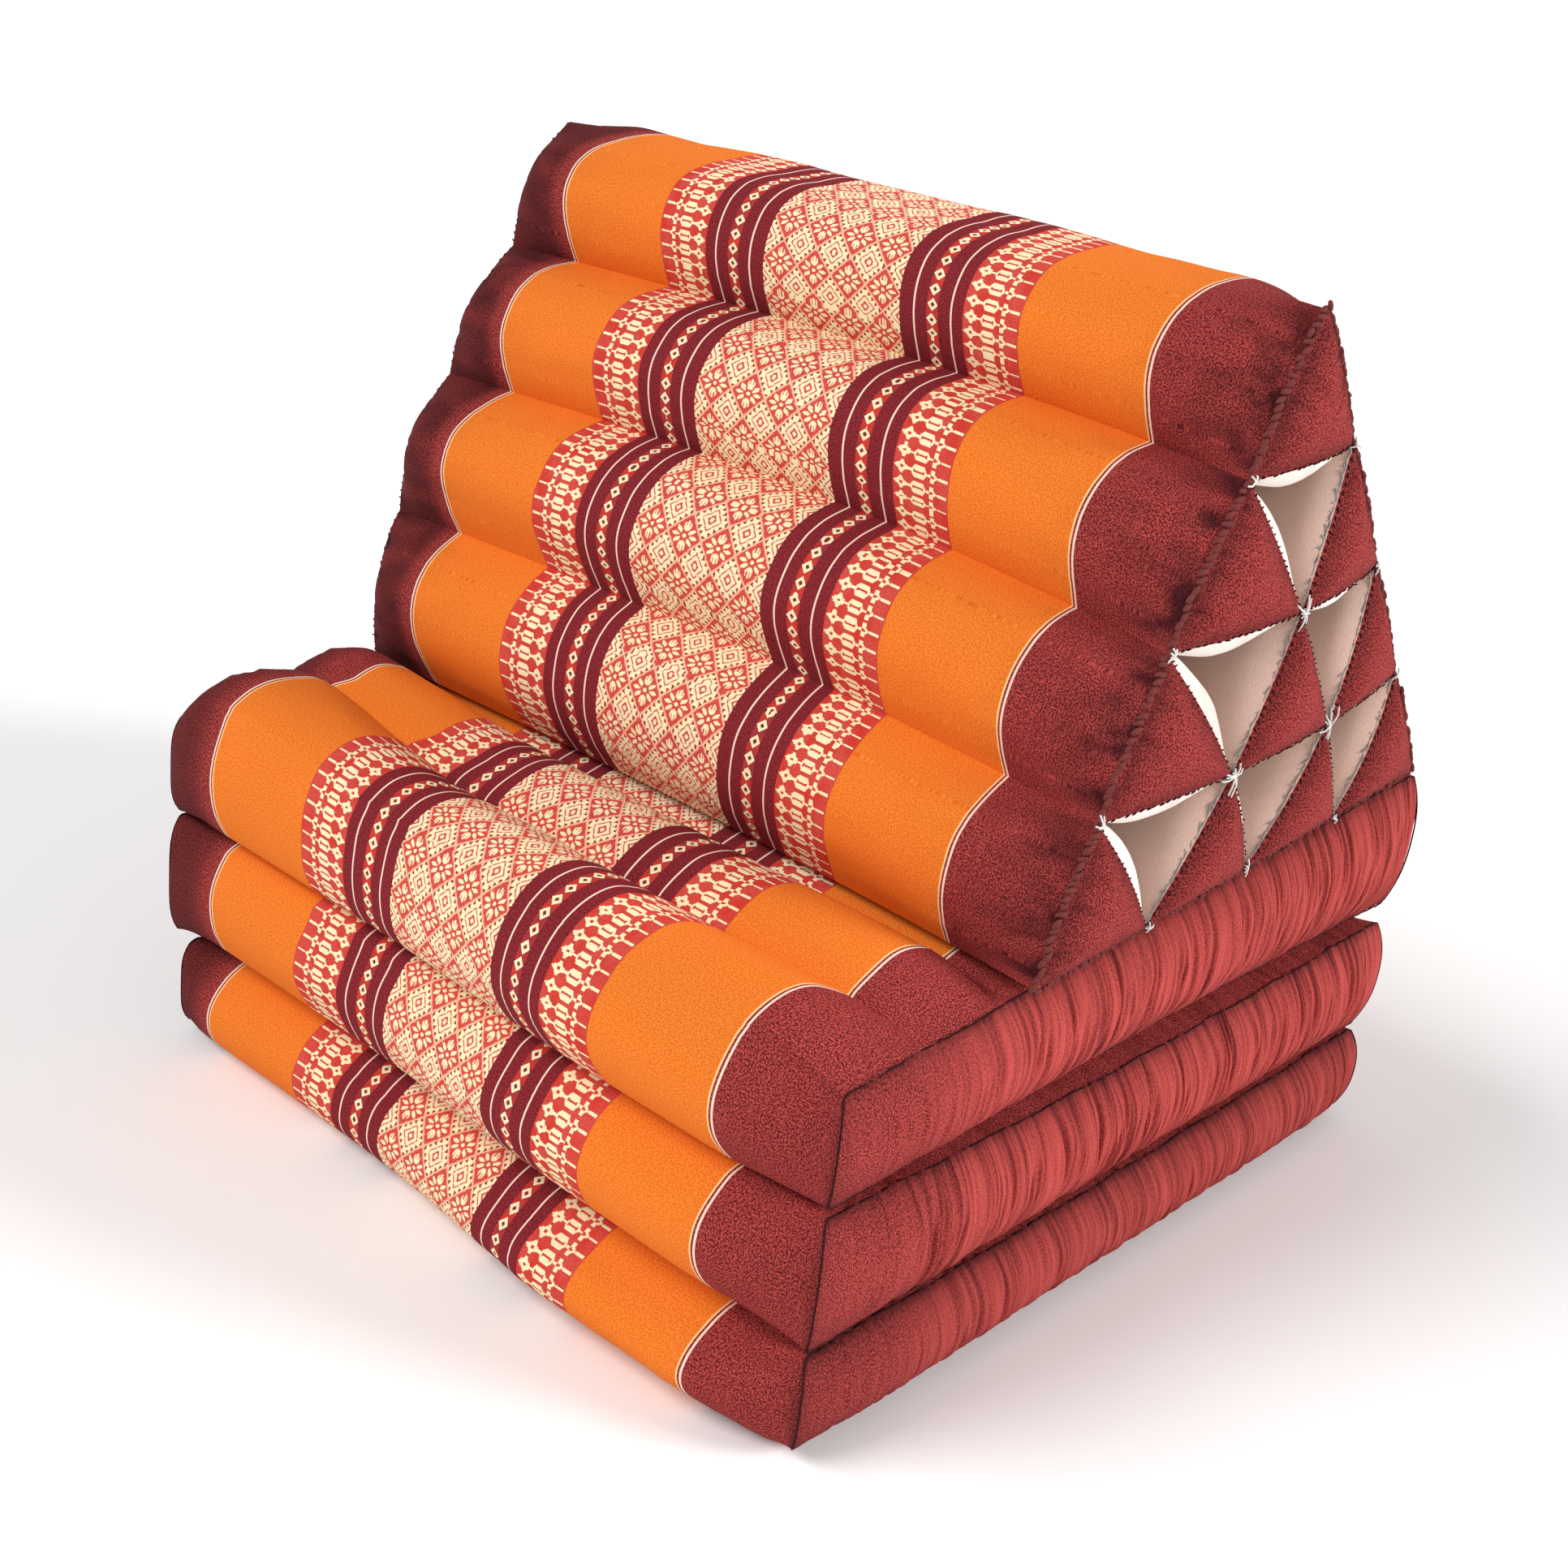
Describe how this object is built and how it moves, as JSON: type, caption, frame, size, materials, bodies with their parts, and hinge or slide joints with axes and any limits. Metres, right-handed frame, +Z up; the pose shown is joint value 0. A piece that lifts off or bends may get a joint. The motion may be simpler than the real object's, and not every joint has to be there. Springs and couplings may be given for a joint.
{
  "type": "triangle cushion",
  "caption": "Triangular stuffed back cushion with open channels through it, on a stack of zigzag-folded stuffed seat mats in patterned cotton.",
  "frame": {"origin": "under the middle of the whole object, at floor level", "axes": "+X along the ridge of the triangular cushion to the right as seen from the front, -Y to the front where a person sits, +Z up"},
  "size_m": [0.572, 0.562, 0.5581],
  "materials": {
    "patterned_cotton": "woven cotton with stripes and small repeats in orange, red, burgundy and cream",
    "dark_red_cotton": "plain woven cotton in mixed dark and bright red threads",
    "white_cotton": "undyed plain cotton"
  },
  "bodies": {
    "root": {"mat_bottom": "patterned_cotton", "mat_middle": "patterned_cotton", "mat_top": "patterned_cotton", "tube_1_1": "patterned_cotton", "tube_2_1": "patterned_cotton", "tube_2_2": "patterned_cotton", "tube_3_1": "patterned_cotton", "tube_3_2": "white_cotton", "tube_3_3": "patterned_cotton", "tube_4_1": "patterned_cotton", "tube_4_2": "dark_red_cotton", "tube_4_3": "dark_red_cotton", "tube_4_4": "patterned_cotton"}
  },
  "joints": []
}
